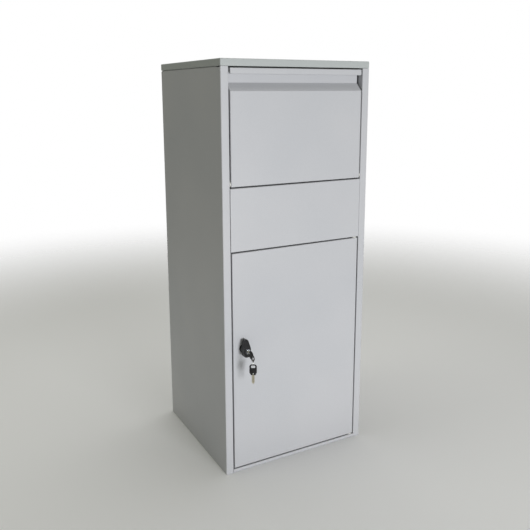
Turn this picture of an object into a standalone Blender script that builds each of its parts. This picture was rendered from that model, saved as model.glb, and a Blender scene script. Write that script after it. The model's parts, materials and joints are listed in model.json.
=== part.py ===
"""Free-standing parcel drop box: a folded sheet-steel cabinet with a tilting hopper at the top,
a fixed middle panel, and a locked collection door below.

Units are metres and +Z is up. The origin is the centre of the base, on the floor. The front faces -Y,
X is to the right of a person who stands in front of the box, and the door's hinge is on the right.
Heights at the front are measured down from the top, so a taller box gets a taller collection door.
"""

from math import acos, cos, pi, radians, sin, tan

import bmesh
import bpy
from mathutils import Matrix, Vector

# ---------------------------------------------------------------- driving dimensions

WIDTH = 0.410
DEPTH = 0.385
HEIGHT = 1.020

SHEET = 0.001            # thickness of all folded steel
FIT = 0.0003             # clearance between pieces that seat on each other
BEND = 0.002             # outside radius of a fold
BEND_STEPS = 3

GAP = 0.003              # visible gap around the hopper and the door
COVER_HEIGHT = 0.017     # depth of the top cover's skirt
COVER_LIP = 0.012
SHADOW_GAP = 0.0025      # reveal between the top cover and the panels under it
FLAP_HEIGHT = 0.2705
MIDDLE_HEIGHT = 0.152
RAIL_HEIGHT = 0.0095     # bottom pan, whose front wall is the rail under the door

POST_WIDTH = 0.020       # front face folded on each side panel
POST_DEPTH = 0.020
POST_LIP = 0.012
REAR_FLANGE = 0.015
ANGLE_LEG = 0.020
ANGLE_FLANGE = 0.012
ANGLE_SETBACK = 0.004    # side angles start this far behind the posts
PAN_LIP = 0.014
BACK_INSET = 0.001       # back panel inside the outline of the side panels
BACK_FOOT = 0.0015

DOOR_DEPTH = 0.018
DOOR_LIP = 0.014
STOP_DROP = 0.012
PAD_THICKNESS = 0.0024
PAD_WIDTH = 0.020
PAD_HEIGHT = 0.007
PAD_PLACES = (("left", -0.150), ("right", 0.100))

PIVOT_INSET = 0.007      # hinge axes lie this far from the two faces of the corner that they turn
PIN_RADIUS = 0.003
PIN_HEAD_RADIUS = 0.005
PIN_HEAD = 0.002
PIN_REACH = 0.003        # pin beyond the sheet it carries
HOLE_CLEARANCE = 0.0003
WASHER_RADIUS = 0.006

RECESS_DEPTH = 0.019     # handle recess behind the front plane
STRIP_HEIGHT = 0.014     # hanging strip that the fingers hook behind
STRIP_CORNER = 0.003
BAND_TOP = 0.033         # top of the 45 degree band under the recess, below the flap's top edge
HEM_BACK = 0.0023
HEM_RISE = 0.006
FLAP_RETURN = 0.018

HOPPER_TRAVEL = radians(48)
TRAY_SLOPE = radians(35)
TRAY_LENGTH = 0.240
TRAY_RISE = 0.014        # start of the tray's slope above the pivot
TRAY_FLANGE = 0.020
TRAY_END = 0.012
CHEEK_TOP_BACK = 0.014   # back end of the cheek's top edge, behind the pivot
CHEEK_ARC_END = radians(38)
CHEEK_UNDER = 0.004      # cheek below the tray's underside
CHEEK_CORNER = 0.004
CHEEK_FOOT = 0.018       # flat bottom edge of the cheek behind the pivot

STUD_ARM = 0.200         # stop stud from the pivot
STUD_CLEARANCE = 0.0004  # stud to the post's lip with the hopper open
STUD_RADIUS = 0.004
STUD_NECK = 0.002
STUD_HEAD = 0.0019
STUD_REACH = 0.0077
BUMPER_PROUD = 0.0005    # bumper beyond the inner face of the post
BUMPER_FORE = 0.007
BUMPER_AFT = 0.009
BUMPER_HEIGHT = 0.014

BAFFLE_SLOPE = radians(40)
BAFFLE_EDGE_BACK = 0.232   # free edge of the anti-fishing baffle, from the hopper's pivot
BAFFLE_EDGE_UP = 0.060
BAFFLE_FLANGE = 0.012
BAFFLE_ROOT = 0.020

STIFFENER_X = 0.020
STIFFENER_CROWN = 0.030
STIFFENER_FLANGE = 0.010
STIFFENER_DEPTH = 0.012
STIFFENER_INSET = 0.020

ANCHOR_X = 0.130
FLOOR_ANCHOR_RADIUS = 0.005
FLOOR_ANCHOR_INSET = 0.070   # from the front and the back of the base
WALL_ANCHOR_RADIUS = 0.0045
WALL_ANCHOR_LOW = 0.100
WALL_ANCHOR_DROP = 0.120     # upper wall anchors below the panel's top

LOCK_FROM_EDGE = 0.027   # lock axis from the door's free edge
LOCK_DROP = 0.241        # lock axis below the door's top edge
ROSETTE_RADIUS = 0.011
ROSETTE_HEIGHT = 0.004
BARREL_RADIUS = 0.009
BARREL_SHORT = 0.0005    # end of the housing in front of the plug's end
PLUG_RADIUS = 0.0055
PLUG_FACE_RADIUS = 0.006
PLUG_FACE = 0.003
KEYWAY_WIDTH = 0.0026
KEYWAY_HEIGHT = 0.009
KEYWAY_FLOOR = 0.003     # bottom of the keyway in front of the front plane
NUT_FLATS = 0.024
NUT_THICKNESS = 0.005
KNOB_BACK = 0.0083       # back and front of the knob's body, in front of the front plane
KNOB_FRONT = 0.0232
KNOB_NECK_RADIUS = 0.0085
KNOB_TOP = 0.026
KNOB_BOTTOM = 0.016
KNOB_HALF = 0.0095
KNOB_LOBE_HALF = 0.006
KNOB_FOOT_HALF = 0.008
LOBE_TIP_DEPTH = 0.014   # lobe's face at its tip, in front of the front plane
LOBE_ROOT = 0.008        # height where the lobe's slanted face starts
KNOB_TIP_ROUND = 0.0042
KNOB_FOOT_ROUND = 0.0056
CAM_THICKNESS = 0.002
CAM_LENGTH = 0.039
CAM_HALF = 0.008
CAM_TAIL = 0.010
CAM_ROUND = 0.0072
SCREW_RADIUS = 0.002
SCREW_DEPTH = 0.005
SCREW_HEAD_RADIUS = 0.0045
SCREW_HEAD = 0.003

KEY_PIVOT = 0.037        # fold pin in front of the front plane
KEY_DROOP = radians(30)
BLADE_THICKNESS = 0.0018
BLADE_HALF = 0.00375
BLADE_LENGTH = 0.026
HEAD_THICKNESS = 0.0042
HEAD_THIN = 0.0016
HEAD_LENGTH = 0.0235     # from the fold pin to the far end
HEAD_NEAR = 0.0035
HEAD_HALF = 0.009
HEAD_NECK_HALF = 0.006
HEAD_SHOULDER = 0.0035
HEAD_CORNER = 0.006
HEAD_THIN_FROM = 0.0105
HEAD_HOLE = 0.0175       # centre of the ring hole from the fold pin
HEAD_HOLE_LONG = 0.005   # half sizes of the ring hole
HEAD_HOLE_SHORT = 0.0034
HEAD_HOLE_ROUND = 0.0020
FOLD_PIN_RADIUS = 0.0015
RING_RADIUS = 0.009
RING_WIRE = 0.0006
RING_SAG = 0.0003
RING_SLACK = 0.0012      # room that the wire needs to turn in the spare key's hole
RING_YAW = radians(60)
SPARE_YAW = radians(30)

# ---------------------------------------------------------------- worked out from them

HALF = WIDTH / 2
FRONT = -DEPTH / 2
BACK = DEPTH / 2
COVER_BOTTOM = HEIGHT - COVER_HEIGHT
PANEL_TOP = COVER_BOTTOM - SHADOW_GAP
FLAP_TOP = COVER_BOTTOM - GAP
FLAP_BOTTOM = FLAP_TOP - FLAP_HEIGHT
MIDDLE_TOP = FLAP_BOTTOM - GAP
MIDDLE_BOTTOM = MIDDLE_TOP - MIDDLE_HEIGHT
DOOR_TOP = MIDDLE_BOTTOM - GAP
DOOR_BOTTOM = RAIL_HEIGHT + GAP
STOP_DEPTH = DOOR_DEPTH + PAD_THICKNESS + 2 * FIT    # face of the door stop behind the front plane
OPENING = HALF - POST_WIDTH
DOOR_HALF = OPENING - GAP
INNER_HALF = HALF - SHEET - FIT
INNER_BACK = BACK - 2 * SHEET - 2 * FIT
REAR_HALF = INNER_HALF - 2 * FIT      # clears the inside of the rear folds
CHEEK_INNER = DOOR_HALF - SHEET
FLAP_HALF = CHEEK_INNER - FIT
PIVOT_Y = FRONT + PIVOT_INSET
PIVOT_Z = FLAP_BOTTOM + PIVOT_INSET
HINGE_X = DOOR_HALF - PIVOT_INSET
HINGE_Y = FRONT + PIVOT_INSET
PIN_HOLE = PIN_RADIUS + HOLE_CLEARANCE
WASHER = GAP - 2 * FIT
PIN_GRIP = SHEET + 2 * FIT + GAP + SHEET + PIN_REACH
STUD_ANGLE = acos((POST_DEPTH - PIVOT_INSET + STUD_RADIUS + STUD_CLEARANCE) / STUD_ARM) - HOPPER_TRAVEL
STUD_Y = PIVOT_Y + STUD_ARM * cos(STUD_ANGLE)
STUD_Z = PIVOT_Z + STUD_ARM * sin(STUD_ANGLE)
LOCK_X = -DOOR_HALF + LOCK_FROM_EDGE
LOCK_Z = DOOR_TOP - LOCK_DROP
PLUG_REAR = max(DOOR_DEPTH, POST_DEPTH)     # the cam turns behind the door's lip and the post
CAM_SEAT = PLUG_REAR + FIT

# ---------------------------------------------------------------- scene, materials and helpers

for leftover in list(bpy.data.objects):
    bpy.data.objects.remove(leftover, do_unlink=True)


def new_collection(name):
    group = bpy.data.collections.new(name)
    bpy.context.scene.collection.children.link(group)
    return group


PARTS = new_collection("parcel_drop_box")
CUTTERS = new_collection("cutters")


def new_material(name, colour, roughness, metallic):
    made = bpy.data.materials.new(name)
    made.use_nodes = True
    shader = made.node_tree.nodes["Principled BSDF"]
    shader.inputs["Base Color"].default_value = (*colour, 1.0)
    shader.inputs["Roughness"].default_value = roughness
    shader.inputs["Metallic"].default_value = metallic
    return made


POWDER_COAT = new_material("grey_powder_coat", (0.50, 0.51, 0.53), 0.45, 0.0)
ZINC = new_material("zinc_plated_steel", (0.62, 0.62, 0.60), 0.35, 1.0)
CHROME = new_material("chrome", (0.75, 0.76, 0.78), 0.12, 1.0)
BLACK_PLASTIC = new_material("black_plastic", (0.018, 0.018, 0.020), 0.40, 0.0)
RUBBER = new_material("black_rubber", (0.020, 0.020, 0.021), 0.80, 0.0)
NYLON = new_material("white_nylon", (0.75, 0.74, 0.70), 0.50, 0.0)
NICKEL = new_material("nickel_silver", (0.60, 0.57, 0.47), 0.30, 1.0)


def finish_object(name, data, finish, group=PARTS):
    """Link a mesh or curve as a named object with its material."""
    data.materials.append(finish)
    made = bpy.data.objects.new(name, data)
    group.objects.link(made)
    return made


def mesh_from(shape, name):
    shape.normal_update()
    data = bpy.data.meshes.new(name)
    shape.to_mesh(data)
    shape.free()
    return data


def smooth(made):
    """Shade a round piece smoothly but for its corners."""
    made.data.shade_smooth()
    made.data.set_sharp_from_angle(angle=radians(35))
    return made


def fillet(points, radius, closed=False, steps=BEND_STEPS):
    """The polyline with each corner, or each inner corner of an open one, turned into an arc."""
    count = len(points)
    sizes = radius if isinstance(radius, (list, tuple)) else [radius] * count
    rounded = []
    for index, (corner, size) in enumerate(zip(map(Vector, points), sizes)):
        is_end = not closed and index in (0, count - 1)
        if is_end or size == 0:
            rounded.append(corner)
            continue
        back = (Vector(points[index - 1]) - corner).normalized()
        ahead = (Vector(points[(index + 1) % count]) - corner).normalized()
        half_angle = back.angle(ahead) / 2
        middle = corner + (back + ahead).normalized() * size / sin(half_angle)
        first = corner + back * size / tan(half_angle) - middle
        last = corner + ahead * size / tan(half_angle) - middle
        for step in range(steps + 1):
            rounded.append(middle + first.lerp(last, step / steps).normalized() * size)
    return rounded


def folded_sheet(name, path, along, start, end, finish=POWDER_COAT):
    """A bent sheet: an open path swept along X, Y or Z, with its thickness on the right of the path's run."""
    place = {
        "X": lambda u, v: Vector((start, u, v)),
        "Y": lambda u, v: Vector((u, start, v)),
        "Z": lambda u, v: Vector((u, v, start)),
    }[along]
    sweep = Vector([float(axis == along) for axis in "XYZ"]) * (end - start)
    shape = bmesh.new()
    corners = [shape.verts.new(place(*point)) for point in path]
    edges = [shape.edges.new(pair) for pair in zip(corners, corners[1:])]
    first_middle = (corners[0].co + corners[1].co + sweep) / 2
    to_left = Vector((path[0][1] - path[1][1], path[1][0] - path[0][0]))
    left = place(*(Vector(path[0]) + to_left)) - corners[0].co
    swept = bmesh.ops.extrude_edge_only(shape, edges=edges)
    moved = [item for item in swept["geom"] if isinstance(item, bmesh.types.BMVert)]
    bmesh.ops.translate(shape, verts=moved, vec=sweep)
    bmesh.ops.recalc_face_normals(shape, faces=shape.faces[:])
    shape.normal_update()
    first_face = min(shape.faces, key=lambda face: (face.calc_center_median() - first_middle).length)
    if first_face.normal.dot(left) < 0:
        bmesh.ops.reverse_faces(shape, faces=shape.faces[:])
    made = finish_object(name, mesh_from(shape, name), finish)
    thicken(made)
    return made


def thicken(made, thickness=SHEET):
    """Give an open surface its thickness, on the side its faces look away from."""
    solid = made.modifiers.new("thickness", "SOLIDIFY")
    solid.thickness = thickness
    solid.offset = -1.0
    solid.use_even_offset = True
    return solid


def round_edges(made, width=BEND, segments=BEND_STEPS, angle=radians(40)):
    rounding = made.modifiers.new("rounding", "BEVEL")
    rounding.width = width
    rounding.segments = segments
    rounding.limit_method = "ANGLE"
    rounding.angle_limit = angle
    rounding.harden_normals = False
    return rounding


def box_mesh(low, high):
    """A cube primitive stretched to the box between two corners."""
    low = Vector(low)
    high = Vector(high)
    shape = bmesh.new()
    bmesh.ops.create_cube(shape, size=1.0)
    bmesh.ops.scale(shape, vec=high - low, verts=shape.verts[:])
    bmesh.ops.translate(shape, vec=(low + high) / 2, verts=shape.verts[:])
    return shape


def block(name, low, high, finish, rounding=0.0):
    made = finish_object(name, mesh_from(box_mesh(low, high), name), finish)
    if rounding:
        round_edges(made, rounding, 2)
    return made


def pan(name, low, high, open_side, lip):
    """A folded tray: a box with one side open but for the lips folded in around it."""
    shape = box_mesh(low, high)
    shape.normal_update()
    lid = max(shape.faces, key=lambda face: face.normal.dot(Vector(open_side)))
    bmesh.ops.inset_region(shape, faces=[lid], thickness=lip, use_even_offset=True)
    bmesh.ops.delete(shape, geom=[lid], context="FACES_ONLY")
    made = finish_object(name, mesh_from(shape, name), POWDER_COAT)
    round_edges(made)
    thicken(made)
    return made


def circle(centre, radius, steps=24):
    """Points of a circle in a flat outline."""
    turns = [2 * pi * step / steps for step in range(steps)]
    return [Vector((centre[0] + radius * cos(turn), centre[1] + radius * sin(turn))) for turn in turns]


FACING_FRONT = Matrix(((1, 0, 0), (0, 0, -1), (0, 1, 0))).to_4x4()   # outline x, y lie along X and Z
FACING_SIDE = Matrix(((0, 0, 1), (1, 0, 0), (0, 1, 0))).to_4x4()     # outline x, y lie along Y and Z


def flat_plate(name, outlines, thickness, facing, centre, finish=POWDER_COAT):
    """A flat plate: the first outline is its edge, the others are holes in it."""
    data = bpy.data.curves.new(name, "CURVE")
    data.dimensions = "2D"
    data.fill_mode = "BOTH"
    data.extrude = thickness / 2
    for outline in outlines:
        spline = data.splines.new("POLY")
        spline.points.add(len(outline) - 1)
        for point, (u, v) in zip(spline.points, outline):
            point.co = (u, v, 0.0, 1.0)
        spline.use_cyclic_u = True
    made = finish_object(name, data, finish)
    made.matrix_world = Matrix.Translation(centre) @ facing
    return made


def as_mesh(made):
    """Turn a curve, or a mesh with modifiers, into one closed plain mesh in the same place."""
    bpy.context.view_layer.update()
    name = made.name
    group = made.users_collection[0]
    finish = made.data.materials[0]
    evaluated = made.evaluated_get(bpy.context.evaluated_depsgraph_get())
    data = bpy.data.meshes.new_from_object(evaluated)
    shape = bmesh.new()
    shape.from_mesh(data)
    bmesh.ops.remove_doubles(shape, verts=shape.verts[:], dist=0.00001)
    bmesh.ops.recalc_face_normals(shape, faces=shape.faces[:])
    shape.to_mesh(data)
    shape.free()
    place = made.matrix_world.copy()
    bpy.data.objects.remove(made, do_unlink=True)
    data.materials.clear()
    whole = finish_object(name, data, finish, group)
    whole.matrix_world = place
    return whole


def turned(name, profile, axis, place, finish, steps=32, closed=False):
    """A turned piece: its profile of radii and heights runs down the outer side and sweeps about the axis."""
    shape = bmesh.new()
    corners = [shape.verts.new((radius, 0.0, height)) for radius, height in profile]
    pairs = list(zip(corners, corners[1:]))
    if closed:
        pairs.append((corners[-1], corners[0]))
    for pair in pairs:
        shape.edges.new(pair)
    made = finish_object(name, mesh_from(shape, name), finish)
    sweep = made.modifiers.new("turning", "SCREW")
    sweep.steps = steps
    sweep.render_steps = steps
    sweep.use_merge_vertices = True
    sweep.merge_threshold = 0.00002
    made.location = place
    made.rotation_euler = Vector((0, 0, 1)).rotation_difference(Vector(axis)).to_euler()
    return smooth(as_mesh(made))


def add_cutter(name, shape, place=Matrix.Identity(4)):
    cutter = bpy.data.objects.new(name, mesh_from(shape, name))
    CUTTERS.objects.link(cutter)
    cutter.matrix_world = place
    cutter.display_type = "WIRE"
    cutter.hide_render = True
    return cutter


def boolean(target, cutter, operation="DIFFERENCE"):
    change = target.modifiers.new(cutter.name, "BOOLEAN")
    change.operation = operation
    change.object = cutter


def rod_mesh(centre, axis, radius, length, steps=24):
    shape = bmesh.new()
    bmesh.ops.create_cone(
        shape, cap_ends=True, segments=steps, radius1=radius, radius2=radius, depth=length
    )
    turn = Vector((0, 0, 1)).rotation_difference(Vector(axis)).to_matrix().to_4x4()
    bmesh.ops.transform(shape, matrix=Matrix.Translation(centre) @ turn, verts=shape.verts[:])
    return shape


def drill(target, centre, axis, radius, length=0.006):
    boolean(target, add_cutter(f"{target.name}_hole", rod_mesh(centre, axis, radius, length)))


def cut_box(target, low, high, place=Matrix.Identity(4)):
    boolean(target, add_cutter(f"{target.name}_notch", box_mesh(low, high), place))


def mirrored_span(low, high, side):
    """The X range between two distances from the middle, on the right (side 1) or the left (side -1)."""
    return sorted((side * low, side * high))


SIDES = (("left", -1), ("right", 1))

# ---------------------------------------------------------------- cabinet


def side_panel(label, side):
    """One sheet makes the side, the rear flange and the hollow front post, which reaches the top cover."""
    path = [
        (HALF - REAR_FLANGE, BACK - SHEET - FIT),
        (HALF, BACK - SHEET - FIT),
        (HALF, FRONT),
        (OPENING, FRONT),
        (OPENING, FRONT + POST_DEPTH),
        (OPENING + POST_LIP, FRONT + POST_DEPTH),
    ]
    outline = [(side * x, y) for x, y in fillet(path, BEND)]
    if side < 0:
        outline.reverse()
    made = folded_sheet(f"{label}_side_panel", outline, "Z", 0.0, COVER_BOTTOM - FIT)
    near, far = mirrored_span(HALF - REAR_FLANGE - SHEET, WIDTH, side)
    cut_box(made, (near, FRONT + POST_DEPTH + SHEET, PANEL_TOP), (far, DEPTH, HEIGHT))
    near, far = mirrored_span(HALF - BEND, WIDTH, side)
    cut_box(made, (near, FRONT + BEND, PANEL_TOP), (far, DEPTH, HEIGHT))
    drill(made, (side * OPENING, PIVOT_Y, PIVOT_Z), (1, 0, 0), PIN_HOLE)
    return made


def back_panel():
    half = HALF - BACK_INSET
    edge = [(-half, BACK_FOOT), (half, BACK_FOOT), (half, PANEL_TOP), (-half, PANEL_TOP)]
    holes = [
        circle((x, z), WALL_ANCHOR_RADIUS)
        for x in (-ANCHOR_X, ANCHOR_X)
        for z in (WALL_ANCHOR_LOW, PANEL_TOP - WALL_ANCHOR_DROP)
    ]
    return flat_plate("back_panel", [edge, *holes], SHEET, FACING_FRONT, (0, BACK - SHEET / 2, 0))


def top_angle(label, side):
    """Angle under the top cover's lip, on the inner face of a side panel."""
    corner = COVER_BOTTOM - FIT
    path = [
        (INNER_HALF - ANGLE_FLANGE, corner),
        (INNER_HALF, corner),
        (INNER_HALF, corner - ANGLE_LEG),
    ]
    outline = [(side * x, z) for x, z in fillet(path, BEND)]
    if side < 0:
        outline.reverse()
    start = FRONT + POST_DEPTH + ANGLE_SETBACK
    return folded_sheet(f"top_angle_{label}", outline, "Y", start, INNER_BACK - ANGLE_FLANGE - 2 * FIT)


def top_angle_back():
    corner = COVER_BOTTOM - FIT
    path = [
        (INNER_BACK - ANGLE_FLANGE, corner),
        (INNER_BACK, corner),
        (INNER_BACK, corner - ANGLE_LEG),
    ]
    return folded_sheet("top_angle_back", fillet(path, BEND), "X", -REAR_HALF, REAR_HALF)


def bottom_pan():
    high = (INNER_HALF, INNER_BACK, RAIL_HEIGHT)
    made = pan("bottom_pan", (-INNER_HALF, FRONT, 0), high, (0, 0, 1), PAN_LIP)
    drill(made, (HINGE_X, HINGE_Y, RAIL_HEIGHT), (0, 0, 1), PIN_HOLE, RAIL_HEIGHT)
    for _, side in SIDES:
        for y in (FRONT + FLOOR_ANCHOR_INSET, BACK - FLOOR_ANCHOR_INSET):
            drill(made, (side * ANCHOR_X, y, SHEET / 2), (0, 0, 1), FLOOR_ANCHOR_RADIUS)
    low = (OPENING - FIT, FRONT - PAN_LIP, -PAN_LIP)
    high = (HALF + PAN_LIP, FRONT + POST_DEPTH + FIT, RAIL_HEIGHT + PAN_LIP)
    notches = box_mesh(low, high)
    left_notch = bmesh.ops.duplicate(notches, geom=notches.verts[:] + notches.edges[:] + notches.faces[:])
    moved = [item for item in left_notch["geom"] if isinstance(item, bmesh.types.BMVert)]
    bmesh.ops.translate(notches, verts=moved, vec=(-low[0] - high[0], 0, 0))
    boolean(made, add_cutter("bottom_pan_post_notches", notches))
    return made


def middle_panel():
    """Fixed front panel, whose lower fold ends in the door's stop."""
    path = [
        (FRONT + STOP_DEPTH, MIDDLE_BOTTOM - STOP_DROP),
        (FRONT + STOP_DEPTH, MIDDLE_BOTTOM),
        (FRONT, MIDDLE_BOTTOM),
        (FRONT, MIDDLE_TOP),
        (FRONT + POST_DEPTH, MIDDLE_TOP),
    ]
    half = OPENING - 2 * FIT
    made = folded_sheet("middle_panel", fillet(path, BEND), "X", -half, half)
    drill(made, (HINGE_X, HINGE_Y, MIDDLE_BOTTOM), (0, 0, 1), PIN_HOLE)
    return made


def rear_baffle():
    """Sloping shelf on the back panel that keeps hands and hooks away from the parcels."""
    edge_y = PIVOT_Y + BAFFLE_EDGE_BACK
    edge_z = PIVOT_Z + BAFFLE_EDGE_UP
    root_z = edge_z + (INNER_BACK - edge_y) * tan(BAFFLE_SLOPE)
    path = [
        (INNER_BACK, root_z + BAFFLE_ROOT),
        (INNER_BACK, root_z),
        (edge_y, edge_z),
        (edge_y, edge_z - BAFFLE_FLANGE),
    ]
    return folded_sheet("rear_baffle", fillet(path, BEND), "X", -REAR_HALF, REAR_HALF)


def door_pads():
    face = FRONT + STOP_DEPTH - FIT
    top = DOOR_TOP - SHEET
    for label, x in PAD_PLACES:
        low = (x - PAD_WIDTH / 2, face - PAD_THICKNESS, top - PAD_HEIGHT)
        high = (x + PAD_WIDTH / 2, face, top)
        block(f"door_pad_{label}", low, high, RUBBER, PAD_THICKNESS / 4)


def hopper_bumper(label, side):
    """Rubber block on the side panel, on which the stop stud rests when the hopper is closed."""
    near, far = mirrored_span(OPENING - BUMPER_PROUD, INNER_HALF, side)
    top = STUD_Z - STUD_RADIUS - FIT
    low = (near, STUD_Y - BUMPER_FORE, top - BUMPER_HEIGHT)
    high = (far, STUD_Y + BUMPER_AFT, top)
    return block(f"hopper_bumper_{label}", low, high, RUBBER, SHEET)


def headed_pin(name, place, axis):
    """A pivot pin whose head seats at the place, with its shaft along the axis."""
    profile = [
        (0, PIN_GRIP),
        (PIN_RADIUS - FIT, PIN_GRIP),
        (PIN_RADIUS, PIN_GRIP - FIT),
        (PIN_RADIUS, 0),
        (PIN_HEAD_RADIUS, 0),
        (PIN_HEAD_RADIUS, -PIN_HEAD),
        (0, -PIN_HEAD),
    ]
    return turned(name, profile, axis, place, ZINC, 24)


def washer(name, place, axis):
    """A plain washer, whose middle plane is at the place."""
    half = WASHER / 2
    profile = [(WASHER_RADIUS, half), (WASHER_RADIUS, -half), (PIN_HOLE, -half), (PIN_HOLE, half)]
    return turned(name, profile, axis, place, NYLON, 24, closed=True)


def door_pivots():
    """Two pins and washers that carry the door between the middle panel and the bottom pan."""
    upper = (HINGE_X, HINGE_Y, MIDDLE_BOTTOM + SHEET + FIT)
    lower = (HINGE_X, HINGE_Y, RAIL_HEIGHT - SHEET - FIT)
    headed_pin("door_hinge_pin_top", upper, (0, 0, -1))
    headed_pin("door_hinge_pin_bottom", lower, (0, 0, 1))
    washer("hinge_washer_top", (HINGE_X, HINGE_Y, DOOR_TOP + GAP / 2), (0, 0, 1))
    washer("hinge_washer_bottom", (HINGE_X, HINGE_Y, RAIL_HEIGHT + GAP / 2), (0, 0, 1))


def hopper_pivot(label, side):
    """Pin through the hopper's cheek into the post, with a washer in the gap between them."""
    headed_pin(f"hopper_pin_{label}", (side * FLAP_HALF, PIVOT_Y, PIVOT_Z), (side, 0, 0))
    washer(f"hopper_washer_{label}", (side * (DOOR_HALF + GAP / 2), PIVOT_Y, PIVOT_Z), (1, 0, 0))


def cabinet():
    for label, side in SIDES:
        side_panel(label, side)
        top_angle(label, side)
        hopper_bumper(label, side)
        hopper_pivot(label, side)
    back_panel()
    pan("top_cover", (-HALF, FRONT, COVER_BOTTOM), (HALF, BACK, HEIGHT), (0, 0, -1), COVER_LIP)
    top_angle_back()
    bottom_pan()
    middle_panel()
    rear_baffle()
    door_pads()
    door_pivots()


# ---------------------------------------------------------------- hopper


def hopper_flap():
    """Front of the hopper: folded foot, face, 45 degree band, handle recess and hanging strip with a hem."""
    recess = FRONT + RECESS_DEPTH
    band_top = FLAP_TOP - BAND_TOP
    strip_back = FRONT + SHEET
    strip_foot = FLAP_TOP - STRIP_HEIGHT + SHEET
    path = [
        (FRONT + FLAP_RETURN, FLAP_BOTTOM),
        (FRONT, FLAP_BOTTOM),
        (FRONT, band_top - RECESS_DEPTH),
        (recess, band_top),
        (recess, FLAP_TOP - SHEET),
        (strip_back, FLAP_TOP - SHEET),
        (strip_back, strip_foot),
        (strip_back + HEM_BACK, strip_foot),
        (strip_back + HEM_BACK, strip_foot + HEM_RISE),
    ]
    tight = BEND / 2
    radii = [0, BEND, BEND, BEND, tight, tight, tight, tight, 0]
    made = folded_sheet("hopper_flap", fillet(path, radii), "X", -FLAP_HALF, FLAP_HALF)
    for _, side in SIDES:
        round_strip_corner(made, side)
    return made


def round_strip_corner(flap, side):
    """Cut the lower corner of the hanging strip and its hem to an arc."""
    edge = side * FLAP_HALF
    foot = FLAP_TOP - STRIP_HEIGHT
    inner = edge - side * STRIP_CORNER
    waste = SHEET
    steps = 6
    beyond = edge + side * waste
    outline = [(beyond, foot + STRIP_CORNER), (beyond, foot - waste), (inner, foot - waste)]
    for step in range(steps + 1):
        turn = pi / 2 * step / steps
        x = inner + side * STRIP_CORNER * sin(turn)
        outline.append((x, foot + STRIP_CORNER * (1 - cos(turn))))
    near = FRONT - waste
    depth = HEM_BACK + 3 * SHEET
    shape = bmesh.new()
    front = shape.faces.new([shape.verts.new((x, near, z)) for x, z in outline])
    swept = bmesh.ops.extrude_face_region(shape, geom=[front])
    moved = [item for item in swept["geom"] if isinstance(item, bmesh.types.BMVert)]
    bmesh.ops.translate(shape, verts=moved, vec=(0, depth, 0))
    bmesh.ops.recalc_face_normals(shape, faces=shape.faces[:])
    boolean(flap, add_cutter("strip_corner", shape))


def tray_start():
    return Vector((FRONT + 2 * SHEET + FIT, PIVOT_Z + TRAY_RISE))


def tray_end():
    return tray_start() + TRAY_LENGTH * Vector((cos(TRAY_SLOPE), -sin(TRAY_SLOPE)))


def hopper_tray():
    """Sloping floor of the hopper, fixed to the flap, with a stiffening flange at its end."""
    start = tray_start()
    end = tray_end()
    down = Vector((-sin(TRAY_SLOPE), -cos(TRAY_SLOPE)))
    path = [start + Vector((0, TRAY_FLANGE)), start, end, end + down * TRAY_END]
    return folded_sheet("hopper_tray", fillet(path, BEND), "X", -FLAP_HALF, FLAP_HALF)


def cheek_outline():
    """Side of the hopper: it follows the flap's face, and its top and back edge clear the cover."""
    pivot = Vector((PIVOT_Y, PIVOT_Z))
    top = Vector((PIVOT_Y + CHEEK_TOP_BACK, FLAP_TOP))
    reach = (top - pivot).length
    first = (top - pivot).angle(Vector((1, 0)))
    steps = 16
    arc = []
    for step in range(1, steps + 1):
        angle = first + (CHEEK_ARC_END - first) * step / steps
        arc.append(pivot + reach * Vector((cos(angle), sin(angle))))
    down = Vector((-sin(TRAY_SLOPE), -cos(TRAY_SLOPE)))
    foot = Vector((PIVOT_Y + CHEEK_FOOT, FLAP_BOTTOM))
    low_end = tray_end() + down * (SHEET + CHEEK_UNDER)
    high_end = tray_end() + Vector((SHEET, 0))
    recess = FRONT + RECESS_DEPTH
    band_top = FLAP_TOP - BAND_TOP
    face = [Vector((recess, FLAP_TOP)), Vector((recess, band_top)), Vector((FRONT, band_top - RECESS_DEPTH))]
    corners = [Vector((FRONT, FLAP_BOTTOM)), foot, low_end, high_end, *reversed(arc), top, *face]
    radii = [CHEEK_CORNER, BEND, BEND, BEND, *[0] * len(arc), 0, 0, BEND, BEND]
    return fillet(corners, radii, closed=True)


def hopper_cheek(label, side):
    pivot_hole = circle((PIVOT_Y, PIVOT_Z), PIN_HOLE)
    stud_hole = circle((STUD_Y, STUD_Z), STUD_NECK + FIT, 16)
    outlines = [cheek_outline(), pivot_hole, stud_hole]
    centre = (side * (CHEEK_INNER + SHEET / 2), 0, 0)
    return flat_plate(f"hopper_cheek_{label}", outlines, SHEET, FACING_SIDE, centre)


def stop_stud(label, side):
    """Rubber stud riveted through the cheek: it stops the hopper closed on the bumper, open on the post."""
    outside = SHEET + 2 * FIT
    profile = [
        (0, outside + STUD_REACH),
        (STUD_RADIUS - SHEET / 2, outside + STUD_REACH),
        (STUD_RADIUS, outside + STUD_REACH - SHEET / 2),
        (STUD_RADIUS, outside),
        (STUD_NECK, outside),
        (STUD_NECK, 0),
        (STUD_RADIUS, 0),
        (STUD_RADIUS, -STUD_HEAD),
        (0, -STUD_HEAD),
    ]
    place = (side * FLAP_HALF, STUD_Y, STUD_Z)
    return turned(f"stop_stud_{label}", profile, (side, 0, 0), place, RUBBER, 24)


def hopper():
    hopper_flap()
    hopper_tray()
    for label, side in SIDES:
        hopper_cheek(label, side)
        stop_stud(label, side)


# ---------------------------------------------------------------- door and lock


def at_lock(forward):
    """The point on the lock's axis this far in front of the front plane."""
    return (LOCK_X, FRONT - forward, LOCK_Z)


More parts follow.
